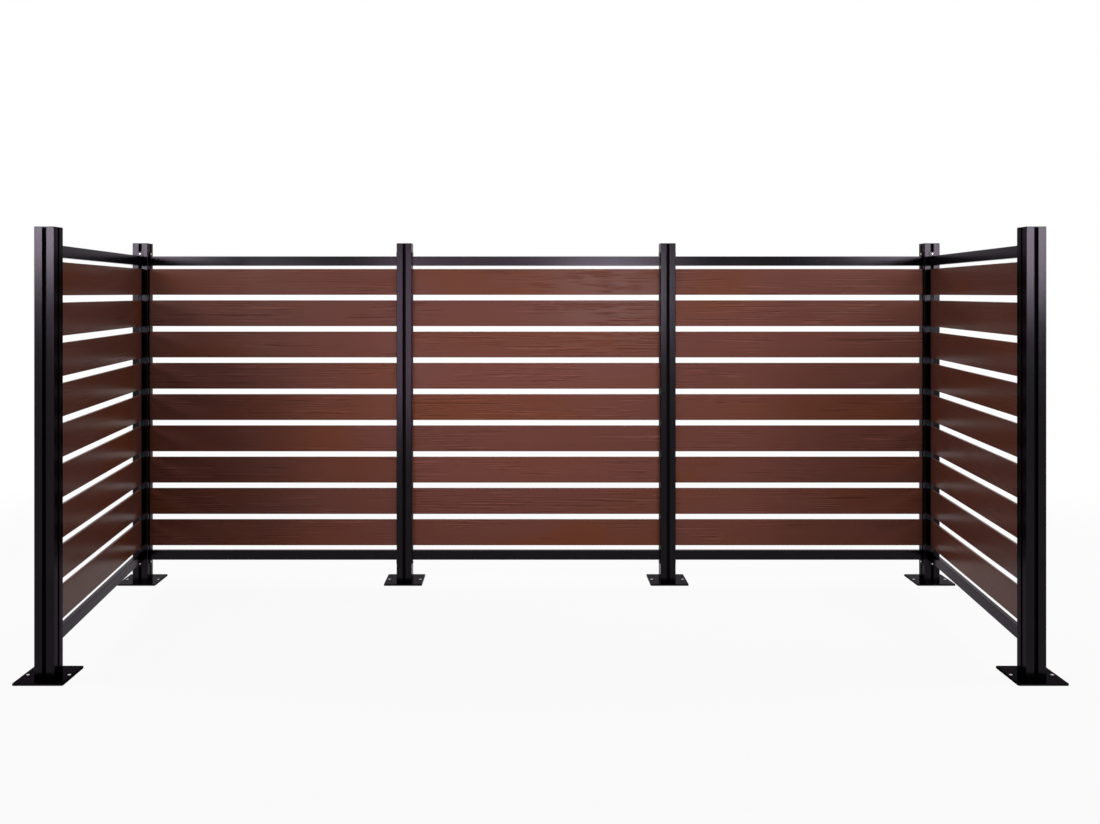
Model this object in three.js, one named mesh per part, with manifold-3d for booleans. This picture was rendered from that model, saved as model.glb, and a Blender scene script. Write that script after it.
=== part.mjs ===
// A garden privacy screen: six grooved posts on base plates carry five slatted panels, three across
// the back and one wing at each end. Millimetres, +Z up, the open side faces -Y, and the origin lies
// on the ground under the middle of the screen.
import * as THREE from 'three';
import { mergeVertices } from 'three/addons/utils/BufferGeometryUtils.js';
import Module from 'manifold-3d';

const wasm = await Module();
wasm.setup();

// Whole screen
const screenHeight = 1800; // ground to the top of the post caps
const backPanels = 3;
const seatGap = 0.3; // left between pieces that rest on each other
const overrun = 1; // how far joined shapes run into each other, and cuts past a face
const holeSides = 20;

// Posts: square extrusions with a slat groove down the middle of each face
const postSide = 80;
const postCorner = 2;
const postWall = 2.2;
const grooveWidth = 16;
const grooveDepth = 15;

// Base plates with a spigot that the hollow post slides over
const plateSide = 200;
const plateThickness = 8;
const plateCorner = 7;
const anchorHole = 14;
const anchorInset = 17; // plate edge to hole centre, one hole at each side
const jigHole = 5;
const jigInset = 35; // plate edges to the two small holes, at opposite corners
const spigotHeight = 60;
const spigotWall = 4;
const spigotFit = 0.4; // each side, inside the post

// Post caps
const capThickness = 3;
const capEdge = 1;
const capPlugHeight = 18;
const capPlugWall = 2.5;

// Slats
const slatsPerPanel = 9;
const slatLength = 1340;
const slatHeight = 138;
const slatThickness = 14;
const slatEdge = 2.5;
const slatInsert = 10; // length of each slat end that is held in a groove
const slatGap = 29;

// Spacers in the grooves, one under each slat end
const spacerProud = 4; // part of a spacer that shows outside the groove
const spacerFit = 1; // how far a spacer stands in from the sides and end of its slat

// Rails, with a bracket plate closing each end
const railHeight = 50;
const railThickness = 24;
const railWall = 2;
const railEdge = 1.5;
const topGap = 17; // top slat to top rail
const bottomGap = 26; // bottom slat to bottom rail
const railDrop = 69; // top of the caps to the top of the top rails
const weepHole = 7;
const weepInset = 160; // rail end to weep hole
const bracketWidth = 32;
const bracketThickness = 3.5;
const bracketTab = 22; // part of the bracket that stands past the rail and takes its screw
const tongueDepth = 9;
const tongueFit = 0.5; // each side, in the groove

// Wings: the front posts stand a little closer together than the corner posts
const wingAngle = THREE.MathUtils.degToRad(5.7);

// Colours
const bronze = { color: 0x2a2326, roughness: 0.35, metalness: 0.2 };
const blackPlate = { color: 0x141315, roughness: 0.25, metalness: 0.2 };
const mahogany = { color: 0x6e4132, roughness: 0.5, metalness: 0 };

// Worked out from the sizes above
const holdLength = slatLength - slatInsert; // between the middles of the two held ends
const holdInset = postSide / 2 - slatInsert / 2; // post centre to the middle of a held end
const postPitch = holdLength + 2 * holdInset;
const backWidth = backPanels * postPitch;
const wingShift = holdLength * Math.sin(wingAngle);
const wingDepth = holdLength * Math.cos(wingAngle) + 2 * holdInset;
const backRowY = wingDepth / 2;
const slatStackHeight = slatsPerPanel * slatHeight + (slatsPerPanel - 1) * slatGap;
const topRailZ = screenHeight - railDrop - railHeight;
const topSlatZ = topRailZ - topGap - slatHeight;
const bottomRailZ = topRailZ - topGap - slatStackHeight - bottomGap - railHeight;
const slatZ = (index) => topSlatZ - index * (slatHeight + slatGap);
const cavityHalf = postSide / 2 - grooveDepth - postWall; // the post's square core cavity
const spigotSide = 2 * (cavityHalf - spigotFit);

const screen = new THREE.Group();

// ---- Solids ----

function toSolid(geometry) {
  const bare = geometry.clone();
  bare.deleteAttribute('normal');
  bare.deleteAttribute('uv');
  const merged = mergeVertices(bare, 1e-4);
  const mesh = new wasm.Mesh({
    numProp: 3,
    vertProperties: new Float32Array(merged.attributes.position.array),
    triVerts: new Uint32Array(merged.index.array),
  });
  return new wasm.Manifold(mesh);
}

function toGeometry(solid) {
  const mesh = solid.getMesh();
  const geometry = new THREE.BufferGeometry();
  geometry.setAttribute('position', new THREE.BufferAttribute(mesh.vertProperties, 3));
  geometry.setIndex(new THREE.BufferAttribute(mesh.triVerts, 1));
  geometry.computeVertexNormals();
  return geometry;
}

function boxBetween(low, high) {
  const size = high.map((value, axis) => value - low[axis]);
  const middle = high.map((value, axis) => (value + low[axis]) / 2);
  return new THREE.BoxGeometry(...size).translate(...middle);
}

function uprightCylinder(diameter, low, high, x, y) {
  const cylinder = new THREE.CylinderGeometry(diameter / 2, diameter / 2, high - low, holeSides);
  return cylinder.rotateX(Math.PI / 2).translate(x, y, (low + high) / 2);
}

// A rectangle with rounded corners, centred on the origin
function roundedRectangle(width, height, radius, outline = new THREE.Shape()) {
  const x = width / 2;
  const y = height / 2;
  outline.moveTo(x - radius, -y);
  outline.absarc(x - radius, radius - y, radius, -Math.PI / 2, 0, false);
  outline.absarc(x - radius, y - radius, radius, 0, Math.PI / 2, false);
  outline.absarc(radius - x, y - radius, radius, Math.PI / 2, Math.PI, false);
  outline.absarc(radius - x, radius - y, radius, Math.PI, 1.5 * Math.PI, false);
  outline.closePath();
  return outline;
}

function extrudeUp(shape, low, high, curveSegments = 1) {
  const settings = { depth: high - low, bevelEnabled: false, curveSegments };
  return new THREE.ExtrudeGeometry(shape, settings).translate(0, 0, low);
}

// The section lies across the panel, so it is drawn as (thickness, height) and runs along X
function extrudeAlong(shape, length, z) {
  const settings = { depth: length, bevelEnabled: false, curveSegments: 1 };
  const bar = new THREE.ExtrudeGeometry(shape, settings).translate(0, 0, -length / 2);
  return bar.rotateX(Math.PI / 2).rotateZ(Math.PI / 2).translate(0, 0, z);
}

function addPiece(parent, name, geometry, finish) {
  const mesh = new THREE.Mesh(geometry, new THREE.MeshStandardMaterial(finish));
  mesh.name = name;
  parent.add(mesh);
  return mesh;
}

// ---- Posts ----

// A square with a notch in the middle of each side: one quarter of the outline, turned four times
function notchedSquare(half, corner, notchHalf, notchFloor, outline) {
  for (let turn = 0; turn < 4; turn += 1) {
    const cos = Math.round(Math.cos(turn * Math.PI / 2));
    const sin = Math.round(Math.sin(turn * Math.PI / 2));
    const place = (x, y) => [x * cos - y * sin, x * sin + y * cos];
    const points = [[half, -notchHalf], [notchFloor, -notchHalf], [notchFloor, notchHalf], [half, notchHalf]];
    points.forEach(([x, y], index) => {
      if (turn === 0 && index === 0) {
        outline.moveTo(...place(x, y));
      } else {
        outline.lineTo(...place(x, y));
      }
    });
    const centre = place(half - corner, half - corner);
    const start = turn * Math.PI / 2;
    outline.absarc(...centre, corner, start, start + Math.PI / 2, false);
  }
  outline.closePath();
  return outline;
}

function makePost() {
  const grooveFloor = postSide / 2 - grooveDepth;
  const section = notchedSquare(postSide / 2, postCorner, grooveWidth / 2, grooveFloor, new THREE.Shape());
  const cavity = notchedSquare(
    postSide / 2 - postWall,
    postCorner / 2,
    grooveWidth / 2 + postWall,
    cavityHalf,
    new THREE.Path(),
  );
  section.holes.push(cavity);
  return extrudeUp(section, plateThickness + seatGap, screenHeight - capThickness - seatGap, 2);
}

function makeBasePlate() {
  const plate = roundedRectangle(plateSide, plateSide, plateCorner);
  const top = plateThickness + spigotHeight;
  const spigot = roundedRectangle(spigotSide, spigotSide, postCorner);
  const bore = spigotSide - 2 * spigotWall;
  spigot.holes.push(roundedRectangle(bore, bore, postCorner / 2, new THREE.Path()));
  let solid = toSolid(extrudeUp(plate, 0, plateThickness, 3));
  solid = solid.add(toSolid(extrudeUp(spigot, plateThickness - overrun, top)));
  const anchorX = plateSide / 2 - anchorInset;
  const jig = plateSide / 2 - jigInset;
  const holes = [
    [anchorHole, -anchorX, 0],
    [anchorHole, anchorX, 0],
    [jigHole, -jig, jig],
    [jigHole, jig, -jig],
  ];
  for (const [diameter, x, y] of holes) {
    solid = solid.subtract(toSolid(uprightCylinder(diameter, -overrun, plateThickness + overrun, x, y)));
  }
  return toGeometry(solid);
}

function makePostCap() {
  const low = screenHeight - capThickness;
  const lid = roundedRectangle(postSide - 2 * capEdge, postSide - 2 * capEdge, postCorner);
  const lidSettings = {
    depth: capThickness - capEdge,
    bevelEnabled: true,
    bevelThickness: capEdge,
    bevelSize: capEdge,
    bevelSegments: 1,
    curveSegments: 1,
  };
  const eased = new THREE.ExtrudeGeometry(lid, lidSettings).translate(0, 0, low);
  const below = boxBetween([-postSide, -postSide, low - 2 * capEdge], [postSide, postSide, low]);
  const plug = roundedRectangle(spigotSide, spigotSide, postCorner);
  const bore = spigotSide - 2 * capPlugWall;
  plug.holes.push(roundedRectangle(bore, bore, postCorner / 2, new THREE.Path()));
  const flatLid = toSolid(eased).subtract(toSolid(below));
  return toGeometry(flatLid.add(toSolid(extrudeUp(plug, low - capPlugHeight, low + capEdge))));
}

function addPost(name, x, y) {
  const stand = new THREE.Group();
  stand.position.set(x, y, 0);
  addPiece(stand, `base_plate_${name}`, makeBasePlate(), blackPlate);
  addPiece(stand, `post_${name}`, makePost(), bronze);
  addPiece(stand, `post_cap_${name}`, makePostCap(), bronze);
  screen.add(stand);
}

// ---- Panels ----
// A panel is drawn along X with its middle at X = 0. Its two ends are held in the grooves of posts
// whose faces are turned by `skew` against the panel.

function slatSolid(index) {
  const section = roundedRectangle(slatThickness, slatHeight, slatEdge);
  return toSolid(extrudeAlong(section, slatLength, slatZ(index) + slatHeight / 2));
}

// The pair of spacers under a slat, down to the given height
function spacerSolids(index, low) {
  const high = slatZ(index) + slatEdge + overrun;
  const inner = slatLength / 2 - slatInsert - spacerProud;
  const outer = slatLength / 2 - spacerFit;
  const side = slatThickness / 2 - spacerFit;
  const right = toSolid(boxBetween([inner, -side, low], [outer, side, high]));
  const left = toSolid(boxBetween([-outer, -side, low], [-inner, side, high]));
  return right.add(left);
}

function spacerFoot(index) {
  const isLowest = index === slatsPerPanel - 1;
  return slatZ(index) - (isLowest ? bottomGap : slatGap) + seatGap;
}

// Slats from one index to another, joined through their spacers, as one row or a whole stack
function makeSlats(first, last) {
  let stack = slatSolid(first);
  for (let index = first; index <= last; index += 1) {
    const joined = index < last;
    const low = joined ? slatZ(index + 1) + slatHeight - slatEdge - overrun : spacerFoot(index);
    stack = stack.add(spacerSolids(index, low));
    if (joined) {
      stack = stack.add(slatSolid(index + 1));
    }
  }
  return toGeometry(stack);
}

// A bracket plate flat against the post, with a tongue in the groove and a tab for the screw
function bracketSolid(end, skew, low, high) {
  const near = slatInsert / 2 + seatGap;
  const far = near + bracketThickness;
  const plate = boxBetween([near, -bracketWidth / 2, low], [far, bracketWidth / 2, high]);
  const tongueHalf = grooveWidth / 2 - tongueFit;
  const tongue = boxBetween([near - tongueDepth, -tongueHalf, low], [near + overrun, tongueHalf, high]);
  const turn = end > 0 ? Math.PI + skew : skew;
  for (const piece of [plate, tongue]) {
    piece.rotateZ(turn).translate(end * holdLength / 2, 0, 0);
  }
  return toSolid(plate).add(toSolid(tongue));
}

// A hollow rail between its two brackets; the tabs stand up from a top rail and down from a bottom one
function makeRail(z, skew, isTop) {
  const length = holdLength - slatInsert - 2 * seatGap - bracketThickness;
  const inside = length - 2 * bracketThickness;
  const section = roundedRectangle(railThickness, railHeight, railEdge);
  const bore = roundedRectangle(railThickness - 2 * railWall, railHeight - 2 * railWall, railEdge / 2);
  const middle = z + railHeight / 2;
  let rail = toSolid(extrudeAlong(section, length, middle));
  rail = rail.subtract(toSolid(extrudeAlong(bore, inside, middle)));
  for (const end of [-1, 1]) {
    const weepX = end * (length / 2 - weepInset);
    rail = rail.subtract(toSolid(uprightCylinder(weepHole, z - overrun, z + railWall + overrun, weepX, 0)));
    const low = isTop ? z : z - bracketTab;
    const high = isTop ? z + railHeight + bracketTab : z + railHeight;
    rail = rail.add(bracketSolid(end, skew, low, high));
  }
  return toGeometry(rail);
}

function addPanel(name, x, y, turn, skew, slatGroups) {
  const panel = new THREE.Group();
  panel.position.set(x, y, 0);
  panel.rotation.z = turn;
  addPiece(panel, `${name}_top_rail`, makeRail(topRailZ, skew, true), bronze);
  for (const [label, first, last] of slatGroups) {
    addPiece(panel, `${name}_${label}`, makeSlats(first, last), mahogany);
  }
  addPiece(panel, `${name}_bottom_rail`, makeRail(bottomRailZ, skew, false), bronze);
  screen.add(panel);
}

// ---- The screen ----

const backPostNames = ['left_corner', 'back_left', 'back_right', 'right_corner'];
backPostNames.forEach((name, index) => {
  addPost(name, (index - backPanels / 2) * postPitch, backRowY);
});
for (const [side, name] of [[-1, 'left_front'], [1, 'right_front']]) {
  addPost(name, side * (backWidth / 2 - wingShift), -backRowY);
}

const singleSlats = Array.from({ length: slatsPerPanel }, (_, index) => [`slat_${index + 1}`, index, index]);
const backPanelNames = ['back_left', 'back_middle', 'back_right'];
backPanelNames.forEach((name, index) => {
  addPanel(name, (index + 0.5 - backPanels / 2) * postPitch, backRowY, 0, 0, singleSlats);
});

// A wing's slats are joined in two stacks through their spacers
const upperCount = Math.ceil(slatsPerPanel / 2);
const wingSlats = [['upper_slats', 0, upperCount - 1], ['lower_slats', upperCount, slatsPerPanel - 1]];
for (const [side, name] of [[-1, 'left_wing'], [1, 'right_wing']]) {
  const x = side * (backWidth / 2 - wingShift / 2);
  addPanel(name, x, 0, Math.PI / 2 - side * wingAngle, side * wingAngle, wingSlats);
}

export default screen;
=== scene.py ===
from math import pi, radians

import bmesh
import bpy
from mathutils import Matrix, Vector


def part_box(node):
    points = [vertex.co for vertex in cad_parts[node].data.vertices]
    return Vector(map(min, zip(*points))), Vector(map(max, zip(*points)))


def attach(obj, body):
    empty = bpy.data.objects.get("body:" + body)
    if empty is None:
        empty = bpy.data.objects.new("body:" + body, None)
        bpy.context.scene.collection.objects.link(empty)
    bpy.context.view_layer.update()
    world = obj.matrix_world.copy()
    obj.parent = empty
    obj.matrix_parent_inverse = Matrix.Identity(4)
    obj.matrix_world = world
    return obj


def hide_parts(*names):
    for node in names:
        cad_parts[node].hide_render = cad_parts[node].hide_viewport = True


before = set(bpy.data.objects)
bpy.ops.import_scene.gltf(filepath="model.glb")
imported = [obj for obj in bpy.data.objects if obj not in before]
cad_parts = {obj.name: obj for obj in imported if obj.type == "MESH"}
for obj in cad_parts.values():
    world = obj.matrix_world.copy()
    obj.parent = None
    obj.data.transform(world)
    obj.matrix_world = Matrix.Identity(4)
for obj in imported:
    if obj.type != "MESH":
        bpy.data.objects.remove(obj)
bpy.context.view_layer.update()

# A garden privacy screen: six grooved bronze posts, rails and mahogany slats. Metres, as in the CAD.
scene = bpy.context.scene
hair = 1e-5  # places closer than this are the same
weld = 1e-6  # corners closer than this are joined
creaseAngle = radians(38)
print("frame loaded:", len(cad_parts), "nodes")


# shading helpers

class Reading:
    # a node's output that can be used in sums
    def __init__(self, board, socket):
        self.board = board
        self.socket = socket

    def output(self, name):
        # another output of the same node
        return Reading(self.board, self.socket.node.outputs[name])

    def maths(self, operation, first, second=0.0):
        return self.board.node("ShaderNodeMath", {"operation": operation}, {0: first, 1: second})

    def __add__(self, other):
        return self.maths("ADD", self, other)

    def __radd__(self, other):
        return self.maths("ADD", other, self)

    def __sub__(self, other):
        return self.maths("SUBTRACT", self, other)

    def __rsub__(self, other):
        return self.maths("SUBTRACT", other, self)

    def __mul__(self, other):
        return self.maths("MULTIPLY", self, other)

    def __rmul__(self, other):
        return self.maths("MULTIPLY", other, self)

    def __truediv__(self, other):
        return self.maths("DIVIDE", self, other)

    def floor(self):
        return self.maths("FLOOR", self)

    def wave(self):
        # one swing from -1 to 1 and back for each whole number
        return self.maths("SINE", self * (2 * pi))

    def clamp(self):
        return self.board.node("ShaderNodeClamp", {}, {"Value": self})

    def between(self, low, high):
        # 0 below low, 1 above high, and smooth in the middle
        settings = {"interpolation_type": "SMOOTHSTEP"}
        sockets = {"Value": self, "From Min": low, "From Max": high}
        return self.board.node("ShaderNodeMapRange", settings, sockets)


class NodeBoard:
    def __init__(self, tree):
        self.tree = tree
        tree.nodes.clear()

    def node(self, kind, settings=None, sockets=None, output=0):
        made = self.tree.nodes.new(kind)
        for name, value in (settings or {}).items():
            setattr(made, name, value)
        for name, value in (sockets or {}).items():
            if isinstance(value, Reading):
                self.tree.links.new(value.socket, made.inputs[name])
            else:
                made.inputs[name].default_value = value
        return Reading(self, made.outputs[output]) if made.outputs else made

    def noise(self, where, scale, detail=2.0, roughness=0.5):
        sockets = {"Vector": where, "Scale": scale, "Detail": detail, "Roughness": roughness}
        return self.node("ShaderNodeTexNoise", {"noise_dimensions": "3D"}, sockets)

    def stretch(self, where, scale, turn=0.0):
        sockets = {"Vector": where, "Rotation": (0.0, 0.0, turn), "Scale": scale}
        return self.node("ShaderNodeMapping", {"vector_type": "POINT"}, sockets)

    def bump(self, height, strength, distance):
        sockets = {"Height": height, "Strength": strength, "Distance": distance}
        return self.node("ShaderNodeBump", {}, sockets)

    def objectPlace(self):
        return self.node("ShaderNodeTexCoord", output="Object")

    def tint(self, colour, amount):
        # the colour, made lighter or darker by a reading around 1
        spread = self.node("ShaderNodeCombineXYZ", {}, {0: amount, 1: amount, 2: amount})
        return self.node("ShaderNodeVectorMath", {"operation": "MULTIPLY"}, {0: colour, 1: spread})

    def blend(self, share, first, second):
        settings = {"data_type": "RGBA", "blend_type": "MIX"}
        return self.node("ShaderNodeMix", settings, {0: share, 6: first, 7: second}, output=2)


def newLook(name):
    material = bpy.data.materials.new(name)
    material.use_nodes = True
    return material, NodeBoard(material.node_tree)


def finishLook(board, sockets):
    shader = board.node("ShaderNodeBsdfPrincipled", {}, sockets)
    board.node("ShaderNodeOutputMaterial", {}, {"Surface": shader})


# looks

bronze = {
    "colour": (0.0108, 0.0096, 0.0114, 1.0),
    "dustColour": (0.0138, 0.0122, 0.0144, 1.0),
    "edgeTint": (0.56, 0.54, 0.56, 1.0),  # keeps the pale floor from whitening what is seen edge on
    "roughness": 0.16,
    "cloudRoughness": 0.06,
    "cloudsPerMetre": 6.0,
    "dustShare": 0.5,
    "grainsPerMetre": 1400.0,
    "grainHeight": 0.00003,
}


def paintBronze():
    material, board = newLook("bronzeCoat")
    place = board.objectPlace()
    grain = board.noise(place, bronze["grainsPerMetre"], 1.0)
    cloud = board.noise(place, bronze["cloudsPerMetre"], 3.0, 0.6)
    dust = cloud.between(0.45, 0.75) * bronze["dustShare"]
    finishLook(board, {
        "Base Color": board.blend(dust, bronze["colour"], bronze["dustColour"]),
        "Roughness": bronze["roughness"] + bronze["cloudRoughness"] * cloud,
        "Metallic": 1.0,
        "Specular Tint": bronze["edgeTint"],
        "Normal": board.bump(grain, 0.3, bronze["grainHeight"]),
    })
    return material


# painted shade for the deep faces of the post grooves
grooveShadeBlack = {
    "colour": (0.0040, 0.0033, 0.0040),
    "roughness": 0.55,
    "cloudRoughness": 0.1,
    "gloss": 0.02,
    "cloudsPerMetre": 40.0,
}


def paintGrooveShade():
    # painted shade: the groove faces get a darker, duller coat than the post, standing in for the shade
    # down in the grooves
    material, board = newLook("paintedGrooveShade")
    cloud = board.noise(board.objectPlace(), grooveShadeBlack["cloudsPerMetre"], 3.0)
    finishLook(board, {
        "Base Color": board.tint(grooveShadeBlack["colour"], 0.8 + 0.4 * cloud),
        "Roughness": grooveShadeBlack["roughness"] + grooveShadeBlack["cloudRoughness"] * cloud,
        "Specular IOR Level": grooveShadeBlack["gloss"],
    })
    return material


blackPlate = {
    "colour": (0.0070, 0.0056, 0.0066, 1.0),
    "scuffColour": (0.0130, 0.0110, 0.0122, 1.0),
    "edgeTint": (0.44, 0.43, 0.44, 1.0),
    "roughness": 0.20,
    "scuffRoughness": 0.25,
    "scuffsPerMetre": 45.0,
    "scuffStretch": (1.0, 3.0, 1.0),
    "scuffShare": 0.4,
    "ripplesPerMetre": 180.0,
    "rippleHeight": 0.0001,
}


def paintBlackPlate():
    material, board = newLook("blackPlateCoat")
    place = board.objectPlace()
    ripple = board.noise(place, blackPlate["ripplesPerMetre"])
    drawn = board.stretch(place, blackPlate["scuffStretch"])
    scuffs = board.noise(drawn, blackPlate["scuffsPerMetre"], 4.0, 0.7)
    worn = scuffs.between(0.60, 0.72) * blackPlate["scuffShare"]
    finishLook(board, {
        "Base Color": board.blend(worn, blackPlate["colour"], blackPlate["scuffColour"]),
        "Roughness": blackPlate["roughness"] + blackPlate["scuffRoughness"] * worn,
        "Metallic": 1.0,
        "Specular Tint": blackPlate["edgeTint"],
        "Normal": board.bump(ripple, 0.4, blackPlate["rippleHeight"]),
    })
    return material


stainless = {"colour": (0.62, 0.61, 0.60), "roughness": 0.22}
bareSteel = {"colour": (0.86, 0.86, 0.85), "roughness": 0.32}
brushing = {"scratchesPerMetre": 2500.0, "height": 0.00002, "roughness": 0.1}


def paintSteel(name, steel):
    material, board = newLook(name)
    brushed = board.noise(board.objectPlace(), brushing["scratchesPerMetre"])
    finishLook(board, {
        "Base Color": board.tint(steel["colour"], 0.92 + 0.16 * brushed),
        "Roughness": steel["roughness"] + brushing["roughness"] * brushed,
        "Metallic": 1.0,
        "Normal": board.bump(brushed, 0.3, brushing["height"]),
    })
    return material


spacerBlack = {
    "colour": (0.012, 0.011, 0.012),
    "roughness": 0.5,
    "speckRoughness": 0.1,
    "gloss": 0.3,
    "specksPerMetre": 1200.0,
    "speckHeight": 0.00005,
}


def paintSpacer():
    material, board = newLook("spacerPlastic")
    specks = board.noise(board.objectPlace(), spacerBlack["specksPerMetre"])
    finishLook(board, {
        "Base Color": board.tint(spacerBlack["colour"], 0.8 + 0.4 * specks),
        "Roughness": spacerBlack["roughness"] + spacerBlack["speckRoughness"] * specks,
        "Specular IOR Level": spacerBlack["gloss"],
        "Normal": board.bump(specks, 0.4, spacerBlack["speckHeight"]),
    })
    return material


mahogany = {
    "colour": (0.146, 0.052, 0.037, 1.0),
    "warmColour": (0.154, 0.046, 0.020, 1.0),
    # the colour of the painted shade in the dents of the embossed grain lines
    "dentShadeColour": (0.070, 0.021, 0.013, 1.0),
    "roughness": 0.20,
    "streakRoughness": 0.06,
    "dentRoughness": 0.10,
    "boardSpread": 0.10,  # how much lighter or darker one board is than the next
    "streakSpread": 0.10,
    "fineSpread": 0.06,
    "linesPerMetre": 84.0,  # embossed grain lines, counted up the board
    "lineHeight": 0.0008,
    "lineSway": 3.5,  # in lines
    # painted light on the embossed grain lines: a painted highlight on the crests, painted shade in the
    # dents
    "crestHighlight": 0.38,
    "dentShade": 0.72,
    # shares of the line height
    "streakRelief": 0.15,
    "fineRelief": 0.04,
    "crestRelief": 0.6,
    "dentRelief": 0.8,
    "rowTop": 1.6785,  # the top board's upper edge and half a gap
    "rowPitch": 0.167,
    "panelPitch": 1.4,
    # how many marks a metre holds along, through and up the board
    "streakMarks": (1.2, 1.0, 75.0),
    "fineMarks": (7.0, 1.0, 420.0),
    "zoneMarks": (2.2, 1.0, 9.0),
    "swayMarks": (0.9, 1.0, 30.0),
    "pieceMarks": (6.0, 1.0, 80.0),
    "warmMarks": (0.9, 1.0, 2.0),
}


def paintMahogany(name, turn, firstSeed, gloss, lineShare):
    # the boards' long way is turned onto X, so that the grain runs along every board
    material, board = newLook(name)
    upright = board.stretch(board.objectPlace(), (1.0, 1.0, 1.0), -turn)
    along = board.node("ShaderNodeSeparateXYZ", {}, {0: upright})
    height = along.output(2)
    row = ((mahogany["rowTop"] - height) / mahogany["rowPitch"]).floor()
    panel = (along / mahogany["panelPitch"] + 0.5).floor()
    seed = row * 3.17 + panel * 7.31 + firstSeed
    luck = board.node("ShaderNodeTexWhiteNoise", {"noise_dimensions": "1D"}, {"W": seed})
    shifted = board.node("ShaderNodeCombineXYZ", {}, {0: along + seed * 5.3, 1: seed, 2: height})

    def marks(kind, detail=2.0, roughness=0.5):
        return board.noise(board.stretch(shifted, mahogany[kind]), 1.0, detail, roughness)

    def spreadAround(reading, kind):
        # a reading from 0 to 1, as a factor around 1
        return (1.0 - mahogany[kind] / 2) + mahogany[kind] * reading

    streaks = marks("streakMarks", 3.0, 0.6)
    fine = marks("fineMarks")
    swing = (height * mahogany["linesPerMetre"] + marks("swayMarks", 1.0) * mahogany["lineSway"]).wave()
    zones = marks("zoneMarks").between(0.42, 0.60)
    marked = marks("pieceMarks", 1.0).between(0.45, 0.55) * zones * lineShare
    crests = swing.between(0.35, 0.95) * marked
    dents = (0.0 - swing).between(0.35, 0.95) * marked
    warmth = marks("warmMarks").between(0.45, 0.75)
    ground = board.blend(warmth, mahogany["colour"], mahogany["warmColour"])
    # painted shade: the dents of the grain lines are darkened towards the dent shade colour
    groundWithDentShade = board.blend(dents * mahogany["dentShade"], ground, mahogany["dentShadeColour"])
    toneAndCrestHighlight = spreadAround(luck, "boardSpread") * spreadAround(streaks, "streakSpread")
    # painted highlight: the crests of the grain lines are lightened, on top of the random board and streak
    # tone
    toneAndCrestHighlight = toneAndCrestHighlight * spreadAround(fine, "fineSpread") + crests * mahogany["crestHighlight"]
    relief = streaks * mahogany["streakRelief"] + fine * mahogany["fineRelief"]
    relief = relief + crests * mahogany["crestRelief"] - dents * mahogany["dentRelief"]
    rough = mahogany["streakRoughness"] * streaks + mahogany["dentRoughness"] * dents
    finishLook(board, {
        "Base Color": board.tint(groundWithDentShade, toneAndCrestHighlight),
        "Roughness": mahogany["roughness"] + rough,
        "Specular IOR Level": gloss,
        "Normal": board.bump(relief, 0.8, mahogany["lineHeight"]),
    })
    return material


wingAngle = radians(5.7)
# name, turn, first seed, gloss and share of lines. Seen edge on, the wings would look grey at full gloss
slatFinish = {
    "back": ("mahoganyBack", 0.0, 2.0, 0.060, 1.0),
    "left": ("mahoganyLeftWing", radians(90) + wingAngle, 31.0, 0.022, 0.3),
    "right": ("mahoganyRightWing", radians(90) - wingAngle, 57.0, 0.022, 0.3),
}
bronzeLook = paintBronze()
grooveShadeLook = paintGrooveShade()
plateLook = paintBlackPlate()
screwLook = paintSteel("stainlessScrew", stainless)
bareLook = paintSteel("bareSteel", bareSteel)
spacerLook = paintSpacer()
slatLooks = {word: paintMahogany(*finish) for word, finish in slatFinish.items()}
print("looks painted")


# modelling helpers

def cutAcross(bm, direction, offsets):
    normal = Vector(direction)
    for offset in offsets:
        everything = bm.verts[:] + bm.edges[:] + bm.faces[:]
        bmesh.ops.bisect_plane(bm, geom=everything, plane_co=normal * offset, plane_no=normal, dist=weld)


def blockBetween(bm, low, high):
    low, high = Vector(low), Vector(high)
    made = bmesh.ops.create_cube(bm, size=1.0)["verts"]
    bmesh.ops.scale(bm, vec=high - low, verts=made)
    bmesh.ops.translate(bm, vec=(low + high) / 2, verts=made)
    return made


def roundEdges(bm, edges, radius, segments):
    bmesh.ops.bevel(
        bm, geom=edges, offset=radius, offset_type="OFFSET", segments=segments,
        profile=0.5, affect="EDGES", clamp_overlap=True, material=-1,
    )


def edgesAlong(verts, axis):
    # the straight edges among these corners that run along one axis, in the same order each run
    found = []
    for vert in verts:
        for edge in vert.link_edges:
            way = edge.verts[0].co - edge.verts[1].co
            if abs(way[axis]) > 0.999 * way.length:
                found.append(edge)
    return list(dict.fromkeys(found))


def pushFaces(bm, faces, way):
    # extrudes the faces and clears what they leave inside
    pushed = bmesh.ops.extrude_face_region(bm, geom=faces)["geom"]
    moved = [item for item in pushed if isinstance(item, bmesh.types.BMVert)]
    bmesh.ops.translate(bm, vec=way, verts=moved)
    bmesh.ops.delete(bm, geom=[face for face in faces if face.is_valid], context="FACES_ONLY")


def newPiece(bm, name, look, place, nodes=()):
    # nodes names the CAD solids that the piece stands for
    bmesh.ops.remove_doubles(bm, verts=bm.verts, dist=weld)
    bmesh.ops.recalc_face_normals(bm, faces=bm.faces)
    bm.transform(place)
    mesh = bpy.data.meshes.new(name)
    bm.to_mesh(mesh)
    bm.free()
    mesh.materials.append(look)
    piece = bpy.data.objects.new(name, mesh)
    scene.collection.objects.link(piece)
    smoothPiece(piece)
    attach(piece, "root")
    if nodes:
        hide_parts(*nodes)
    return piece


def smoothPiece(piece):
    piece.data.shade_smooth()
    piece.data.set_sharp_from_angle(angle=creaseAngle)
    even = piece.modifiers.new("evenShading", "WEIGHTED_NORMAL")
    even.keep_sharp = True


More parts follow.
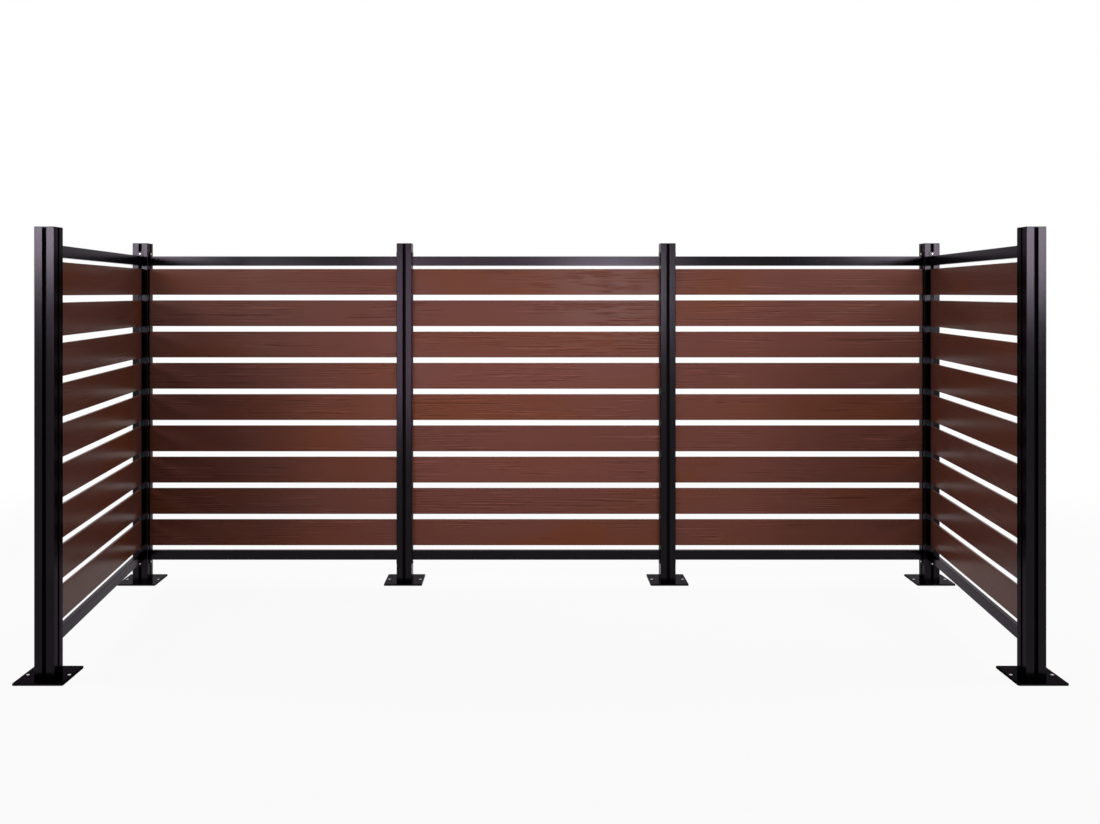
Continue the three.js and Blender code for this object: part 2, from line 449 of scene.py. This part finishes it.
def drillHoles(bm, holes, low, high):
    # cuts straight holes of (x, y, radius) through a solid
    drill = bmesh.new()
    for x, y, radius in holes:
        bit = bmesh.ops.create_cone(
            drill, cap_ends=True, segments=32, radius1=radius, radius2=radius, depth=high - low,
        )["verts"]
        bmesh.ops.translate(drill, vec=(x, y, (low + high) / 2), verts=bit)
    solidMesh, drillMesh = bpy.data.meshes.new("solid"), bpy.data.meshes.new("drill")
    bm.to_mesh(solidMesh)
    drill.to_mesh(drillMesh)
    drill.free()
    solid = bpy.data.objects.new("solid", solidMesh)
    bits = bpy.data.objects.new("drill", drillMesh)
    scene.collection.objects.link(solid)
    scene.collection.objects.link(bits)
    cut = solid.modifiers.new("cut", "BOOLEAN")
    cut.operation = "DIFFERENCE"
    cut.solver = "EXACT"
    cut.object = bits
    bpy.context.view_layer.update()
    drilled = solid.evaluated_get(bpy.context.evaluated_depsgraph_get()).to_mesh()
    bm.clear()
    bm.from_mesh(drilled)
    for leftOver in (solid, bits):
        mesh = leftOver.data
        bpy.data.objects.remove(leftOver)
        bpy.data.meshes.remove(mesh)


def upperRim(bm, top):
    # the sharp edges that lie at the top of a flat piece
    rim = []
    for edge in bm.edges:
        isSharp = len(edge.link_faces) == 2 and edge.calc_face_angle(0) > radians(60)
        if isSharp and min(vert.co.z for vert in edge.verts) > top - hair:
            rim.append(edge)
    return rim


# posts, caps and base plates, modelled about the post's middle

post = {
    "half": 0.040,
    "grooveHalf": 0.008,
    "grooveFloor": 0.025,
    "wall": 0.0022,
    "corner": 0.002,
    "lip": 0.0007,
    "foot": 0.0083,
    "top": 1.7967,
}
coreHalf = post["grooveFloor"] - post["wall"]
postNames = ["left_corner", "back_left", "back_right", "right_corner", "left_front", "right_front"]


def postCentre(name):
    low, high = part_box("post_" + name)
    return Vector(((low[0] + high[0]) / 2, (low[1] + high[1]) / 2, 0.0))


def farAndNear(spot):
    # the larger and the smaller distance from the post's middle planes
    return max(abs(spot.x), abs(spot.y)), min(abs(spot.x), abs(spot.y))


def isPostMetal(spot):
    far, near = farAndNear(spot)
    inGroove = near < post["grooveHalf"] and far > post["grooveFloor"]
    grooveWall = near < post["grooveHalf"] + post["wall"] and far > coreHalf
    inHollow = far < post["half"] - post["wall"] and not grooveWall
    return not inGroove and not inHollow


def makePost(name):
    bm = bmesh.new()
    half = post["half"]
    bmesh.ops.create_grid(bm, x_segments=1, y_segments=1, size=half)
    channel, skin = post["grooveHalf"] + post["wall"], half - post["wall"]
    steps = (post["grooveHalf"], channel, coreHalf, post["grooveFloor"], skin)
    for direction in ((1, 0, 0), (0, 1, 0)):
        cutAcross(bm, direction, [side * step for step in steps for side in (-1, 1)])
    spare = [face for face in bm.faces if not isPostMetal(face.calc_center_median())]
    bmesh.ops.delete(bm, geom=spare, context="FACES")
    bmesh.ops.translate(bm, vec=(0, 0, post["foot"]), verts=bm.verts)
    raised = bmesh.ops.extrude_face_region(bm, geom=bm.faces[:])["geom"]
    lifted = [item for item in raised if isinstance(item, bmesh.types.BMVert)]
    bmesh.ops.translate(bm, vec=(0, 0, post["top"] - post["foot"]), verts=lifted)
    bmesh.ops.recalc_face_normals(bm, faces=bm.faces)
    corners = [edge for edge in edgesAlong(bm.verts, 2) if farAndNear(edge.verts[0].co)[1] > half - hair]
    roundEdges(bm, corners, post["corner"], 4)
    lips = []
    for edge in edgesAlong(bm.verts, 2):
        far, near = farAndNear(edge.verts[0].co)
        if far > half - hair and abs(near - post["grooveHalf"]) < hair:
            lips.append(edge)
    roundEdges(bm, lips, post["lip"], 3)
    # the deep groove faces take the second material, the painted groove shade
    for face in bm.faces:
        far, near = farAndNear(face.calc_center_median())
        isDeep = post["grooveFloor"] - hair < far < half - post["lip"]
        if isDeep and near < post["grooveHalf"] + hair and abs(face.normal.z) < 0.5:
            face.material_index = 1
    place = Matrix.Translation(postCentre(name))
    piece = newPiece(bm, name + "_post", bronzeLook, place, ["post_" + name])
    piece.data.materials.append(grooveShadeLook)


cap = {
    "half": 0.040,
    "corner": 0.003,
    "edge": 0.0010,
    "low": 1.797,
    "top": 1.800,
    "plugDepth": 0.018,
    "plugFit": 0.0004,
}


def makeCap(name):
    bm = bmesh.new()
    half = cap["half"]
    blockBetween(bm, (-half, -half, cap["low"]), (half, half, cap["top"]))
    roundEdges(bm, edgesAlong(bm.verts, 2), cap["corner"], 5)
    roundEdges(bm, upperRim(bm, cap["top"]), cap["edge"], 3)
    under = min(bm.faces, key=lambda face: face.calc_center_median().z)
    margin = half - coreHalf + cap["plugFit"]
    bmesh.ops.inset_region(bm, faces=[under], thickness=margin, use_even_offset=True)
    pushFaces(bm, [under], (0, 0, -cap["plugDepth"]))
    place = Matrix.Translation(postCentre(name))
    newPiece(bm, name + "_cap", bronzeLook, place, ["post_cap_" + name])


plate = {
    "half": 0.100,
    "thickness": 0.008,
    "corner": 0.007,
    "edge": 0.0012,
    "anchors": [(-0.083, 0.0, 0.007), (0.083, 0.0, 0.007)],
    "smallHoles": [(-0.065, 0.065, 0.0025), (0.065, -0.065, 0.0025)],
    "spigotTop": 0.068,
    "spigotWall": 0.004,
    "spigotFit": 0.0004,
    "spigotRoot": 0.001,  # how far the spigot stands into the plate, and its floor above it
}


def makePlate(name):
    # the holes are drilled after the coating, so their walls are bare steel
    bm = bmesh.new()
    half = plate["half"]
    blockBetween(bm, (-half, -half, 0.0), (half, half, plate["thickness"]))
    roundEdges(bm, edgesAlong(bm.verts, 2), plate["corner"], 6)
    drillHoles(bm, plate["anchors"] + plate["smallHoles"], -plate["thickness"], plate["thickness"] * 2)
    roundEdges(bm, upperRim(bm, plate["thickness"]), plate["edge"], 3)
    for face in bm.faces:
        spot = face.calc_center_median()
        for x, y, radius in plate["anchors"]:
            if abs(face.normal.z) < 0.2 and (spot.xy - Vector((x, y))).length < radius + hair:
                face.material_index = 1
    spigot, root = coreHalf - plate["spigotFit"], plate["spigotRoot"]
    low, high = (-spigot, -spigot, plate["thickness"] - root), (spigot, spigot, plate["spigotTop"])
    spigotFaces = {face for vert in blockBetween(bm, low, high) for face in vert.link_faces}
    top = max(spigotFaces, key=lambda face: face.calc_center_median().z)
    bmesh.ops.inset_region(bm, faces=[top], thickness=plate["spigotWall"], use_even_offset=True)
    bmesh.ops.translate(bm, vec=(0, 0, plate["thickness"] + root - plate["spigotTop"]), verts=top.verts)
    place = Matrix.Translation(postCentre(name))
    piece = newPiece(bm, name + "_plate", plateLook, place, ["base_plate_" + name])
    piece.data.materials.append(bareLook)


for postName in postNames:
    makePost(postName)
    makeCap(postName)
    makePlate(postName)
print("posts, caps and base plates made")


# panels, drawn along X with the middle at X = 0, then placed between two posts

slat = {
    "length": 1.340,
    "height": 0.138,
    "thickness": 0.014,
    "edge": 0.0025,
    "count": 9,
    "topZ": 1.526,  # foot of the top slat
    "pitch": 0.167,
    "bottomGap": 0.026,
    "gap": 0.029,
}
spacer = {"inner": 0.656, "outer": 0.669, "half": 0.006, "fit": 0.0003, "corner": 0.001}


def makeSlat(panelName, index, look, place, node):
    bm = bmesh.new()
    low = slat["topZ"] - index * slat["pitch"]
    half = slat["thickness"] / 2
    blockBetween(bm, (-slat["length"] / 2, -half, low), (slat["length"] / 2, half, low + slat["height"]))
    roundEdges(bm, edgesAlong(bm.verts, 0), slat["edge"], 4)
    newPiece(bm, f"{panelName}_board_{index + 1}", look, place, [node])
    isLowest = index == slat["count"] - 1
    drop = slat["bottomGap"] if isLowest else slat["gap"]
    for side, word in ((-1, "left"), (1, "right")):
        bm = bmesh.new()
        inner, outer = sorted((side * spacer["inner"], side * spacer["outer"]))
        foot = low - drop + spacer["fit"]
        blockBetween(bm, (inner, -spacer["half"], foot), (outer, spacer["half"], low - spacer["fit"]))
        roundEdges(bm, edgesAlong(bm.verts, 2), spacer["corner"], 3)
        newPiece(bm, f"{panelName}_spacer_{index + 1}_{word}", spacerLook, place)


rail = {
    "reach": 0.6561,  # from the middle of the panel to the bracket plates
    "wingExtra": 0.0012,  # more reach at the turned brackets of a wing
    "height": 0.050,
    "halfThickness": 0.012,
    "wall": 0.002,
    "edge": 0.0015,
    "topZ": 1.681,
    "bottomZ": 0.114,
    "weepReach": 0.498,
    "weepRadius": 0.0035,
    "weepStart": 0.010,  # the drill starts this far below the rail
}
bracket = {
    "near": 0.0053,  # from the middle of the held length to the post side of the plate
    "far": 0.0088,
    "half": 0.016,
    "tab": 0.022,
    "tongue": 0.009,
    "tongueHalf": 0.0075,
    "corner": 0.004,
    "holdHalf": 0.665,
}
screw = {
    "radius": 0.0048,
    "height": 0.0028,
    "sunk": 0.0002,
    "crown": 0.00168,
    "rim": 0.0010,
    "socketTaper": 0.0002,
    "socketDepth": 0.0014,
    "past": 0.012,  # from the rail's edge to the screw
}


def makeRail(panelName, word, z, skew, place, node):
    bm = bmesh.new()
    reach = rail["reach"] + (rail["wingExtra"] if skew else 0.0)
    across = rail["halfThickness"]
    blockBetween(bm, (-reach, -across, z), (reach, across, z + rail["height"]))
    roundEdges(bm, edgesAlong(bm.verts, 0), rail["edge"], 4)
    weeps = [(side * rail["weepReach"], 0.0, rail["weepRadius"]) for side in (-1, 1)]
    drillHoles(bm, weeps, z - rail["weepStart"], z + rail["wall"])
    newPiece(bm, f"{panelName}_{word}_bar", bronzeLook, place, [node])


def makeBracket(panelName, word, end, z, skew, place, isTop):
    bm = bmesh.new()
    low = z if isTop else z - bracket["tab"]
    high = z + rail["height"] + (bracket["tab"] if isTop else 0.0)
    half = bracket["half"]
    verts = blockBetween(bm, (bracket["near"], -half, low), (bracket["far"], half, high))
    tabZ = high if isTop else low
    free = [edge for edge in edgesAlong(verts, 0) if abs(edge.verts[0].co.z - tabZ) < hair]
    roundEdges(bm, free, bracket["corner"], 5)
    cutAcross(bm, (0, 1, 0), (-bracket["tongueHalf"], bracket["tongueHalf"]))
    bm.faces.ensure_lookup_table()
    inGroove = [
        face for face in bm.faces
        if face.normal.x < -0.9 and abs(face.calc_center_median().y) < bracket["tongueHalf"]
    ]
    pushFaces(bm, inGroove, (-bracket["tongue"], 0, 0))
    turn = radians(180) + skew if end > 0 else skew
    seat = place @ Matrix.Translation((end * bracket["holdHalf"], 0, 0)) @ Matrix.Rotation(turn, 4, "Z")
    side = "right" if end > 0 else "left"
    newPiece(bm, f"{panelName}_{word}_bracket_{side}", bronzeLook, seat)
    screwZ = high - bracket["tab"] + screw["past"] if isTop else low + bracket["tab"] - screw["past"]
    makeScrew(f"{panelName}_{word}_screw_{side}", seat @ Matrix.Translation((bracket["far"], 0, screwZ)))


def makeScrew(name, seat):
    # a low button head on +X of its seat, with a round socket
    bm = bmesh.new()
    radius, height = screw["radius"], screw["height"]
    bmesh.ops.create_cone(bm, cap_ends=True, segments=24, radius1=radius, radius2=radius, depth=height)
    bmesh.ops.translate(bm, vec=(0, 0, height / 2 - screw["sunk"]), verts=bm.verts)
    top = max(bm.faces, key=lambda face: face.calc_center_median().z)
    roundEdges(bm, top.edges[:], screw["crown"], 4)
    top = max(bm.faces, key=lambda face: face.calc_center_median().z)
    bmesh.ops.inset_region(bm, faces=[top], thickness=screw["rim"], use_even_offset=True)
    bmesh.ops.inset_region(
        bm, faces=[top], thickness=screw["socketTaper"], depth=-screw["socketDepth"], use_even_offset=True,
    )
    lay = Matrix.Rotation(radians(90), 4, "Y")
    newPiece(bm, name, screwLook, seat @ lay)


def makePanel(panelName, place, skew, look, slatNodes):
    for index in range(slat["count"]):
        makeSlat(panelName, index, look, place, slatNodes[index])
    for word, z, isTop in (("top", rail["topZ"], True), ("bottom", rail["bottomZ"], False)):
        makeRail(panelName, word, z, skew, place, f"{panelName}_{word}_rail")
        for end in (-1, 1):
            makeBracket(panelName, word, end, z, skew, place, isTop)


backPosts = ["left_corner", "back_left", "back_right", "right_corner"]
for panelName, left, right in zip(("back_left", "back_middle", "back_right"), backPosts, backPosts[1:]):
    middle = (postCentre(left) + postCentre(right)) / 2
    slatNodes = [f"{panelName}_slat_{index + 1}" for index in range(slat["count"])]
    makePanel(panelName, Matrix.Translation(middle), 0.0, slatLooks["back"], slatNodes)
for side, word in ((-1, "left"), (1, "right")):
    middle = (postCentre(word + "_corner") + postCentre(word + "_front")) / 2
    turn = Matrix.Rotation(radians(90) - side * wingAngle, 4, "Z")
    stacks = [f"{word}_wing_upper_slats"] * 5 + [f"{word}_wing_lower_slats"] * 4
    makePanel(word + "_wing", Matrix.Translation(middle) @ turn, side * wingAngle, slatLooks[word], stacks)
print("panels made")


# floor, light and camera

studio = {
    "floorHalf": 60.0,
    "floorColour": (0.96, 0.96, 0.96, 1.0),
    "shadowShare": 0.075,
    "shadowNear": 3.0,  # the shadow is full up to here and gone at shadowFar
    "shadowFar": 5.5,
    "ambient": 0.15,
    "coolLamp": (1.0, 0.95, 1.0),
    "roseLamp": (1.0, 0.76, 0.92),
    "lilacLamp": (0.62, 0.84, 1.0),
    # place, aim, width, height, spread in degrees, power, colour
    "lamps": [
        ((-4.55, -6.4, 2.2), (-1.9, 0.2, 1.6), 0.9, 0.9, 50.0, 6.5, "coolLamp"),
        ((-3.25, -6.4, 1.6), (-1.3, 0.7, 1.4), 1.2, 0.9, 40.0, 1.0, "coolLamp"),
        ((-1.52, -6.4, 1.05), (-0.7, 0.7, 1.2), 0.5, 2.1, 30.0, 1.2, "roseLamp"),
        ((-0.4, -6.4, 1.97), (-0.3, 0.7, 1.6), 1.7, 0.35, 40.0, 0.8, "roseLamp"),
        ((0.98, -6.4, 1.6), (0.4, 0.7, 1.3), 1.1, 1.0, 35.0, 3.0, "coolLamp"),
        ((4.65, -6.4, 2.15), (1.9, 0.2, 1.6), 1.0, 1.2, 50.0, 8.0, "coolLamp"),
        ((-0.3, -2.6, 3.5), (-0.25, 0.7, 1.0), 0.8, 0.6, 26.0, 1.1, "coolLamp"),
        ((1.6, -2.6, 3.5), (1.4, 0.7, 0.9), 0.8, 0.6, 50.0, 3.8, "coolLamp"),
        ((-4.2, -5.5, 4.6), (-1.6, 0.7, 1.5), 2.4, 1.2, 40.0, 7.4, "coolLamp"),
        ((4.2, -5.5, 4.6), (1.6, 0.7, 1.5), 2.4, 1.2, 40.0, 5.0, "coolLamp"),
        ((-1.2, -2.6, 3.0), (-1.75, 0.7, 1.75), 0.8, 0.6, 22.0, 1.1, "lilacLamp"),
        ((1.3, -2.6, 3.0), (1.8, 0.7, 1.75), 0.8, 0.6, 22.0, 1.0, "lilacLamp"),
        ((0.0, 6.8, 4.4), (0.0, 0.7, 0.9), 4.0, 1.5, 60.0, 36.0, "coolLamp"),
        ((-7.5, 0.3, 3.8), (-2.0, 0.0, 0.9), 2.5, 1.5, 60.0, 22.0, "coolLamp"),
        ((7.5, 0.3, 3.8), (2.0, 0.0, 0.9), 2.5, 1.5, 60.0, 22.0, "coolLamp"),
    ],
}


def seenPlain(board):
    # 1 for what the camera sees straight, in a reflection or through a glass
    path = board.node("ShaderNodeLightPath")
    seen = path.output("Is Camera Ray") + path.output("Is Glossy Ray") + path.output("Is Transmission Ray")
    return seen.clamp()


def makeFloor():
    bm = bmesh.new()
    bmesh.ops.create_grid(bm, x_segments=1, y_segments=1, size=studio["floorHalf"])
    mesh = bpy.data.meshes.new("floor")
    bm.to_mesh(mesh)
    bm.free()
    floor = bpy.data.objects.new("floor", mesh)
    scene.collection.objects.link(floor)
    material, board = newLook("paleFloor")
    mesh.materials.append(material)
    place = board.objectPlace()
    distance = board.node("ShaderNodeVectorMath", {"operation": "LENGTH"}, {0: place}, output="Value")
    outside = distance.between(studio["shadowNear"], studio["shadowFar"])
    share = 1.0 - studio["shadowShare"] * (1.0 - outside)
    lit = board.node("ShaderNodeBsdfDiffuse", {}, {"Color": studio["floorColour"]})
    white = board.node("ShaderNodeEmission", {}, {"Color": (1, 1, 1, 1), "Strength": 1.0})
    mixed = board.node("ShaderNodeMixShader", {}, {0: seenPlain(board) * share, 1: lit, 2: white})
    board.node("ShaderNodeOutputMaterial", {}, {"Surface": mixed})


def makeWorld():
    world = bpy.data.worlds.new("studio")
    scene.world = world
    world.use_nodes = True
    board = NodeBoard(world.node_tree)
    ambient = studio["ambient"]
    strength = ambient + (1.0 - ambient) * seenPlain(board)
    air = board.node("ShaderNodeBackground", {}, {"Color": (1, 1, 1, 1), "Strength": strength})
    board.node("ShaderNodeOutputWorld", {}, {"Surface": air})


def makeLamps():
    for number, (spot, aim, width, height, spread, power, colour) in enumerate(studio["lamps"]):
        data = bpy.data.lights.new(f"softbox_{number + 1:02d}", "AREA")
        data.shape = "RECTANGLE"
        data.size = width
        data.size_y = height
        data.spread = radians(spread)
        data.energy = power
        data.color = studio[colour]
        lamp = bpy.data.objects.new(data.name, data)
        lamp.location = spot
        lamp.rotation_euler = (Vector(aim) - Vector(spot)).to_track_quat("-Z", "Y").to_euler()
        scene.collection.objects.link(lamp)


camera = {
    "place": (-0.0647, -4.8739, 1.536),
    "sensor": 36.0,
    "lens": 34.14,
    "shift": (0.0237, -0.1082),
}


def makeCamera():
    data = bpy.data.cameras.new("camera")
    data.sensor_fit = "HORIZONTAL"
    data.sensor_width = camera["sensor"]
    data.lens = camera["lens"]
    data.shift_x, data.shift_y = camera["shift"]
    view = bpy.data.objects.new("camera", data)
    view.location = camera["place"]
    view.rotation_euler = (radians(90), 0.0, 0.0)
    scene.collection.objects.link(view)
    scene.camera = view


makeFloor()
makeWorld()
makeLamps()
makeCamera()
scene.view_settings.view_transform = "Standard"
print("studio made")
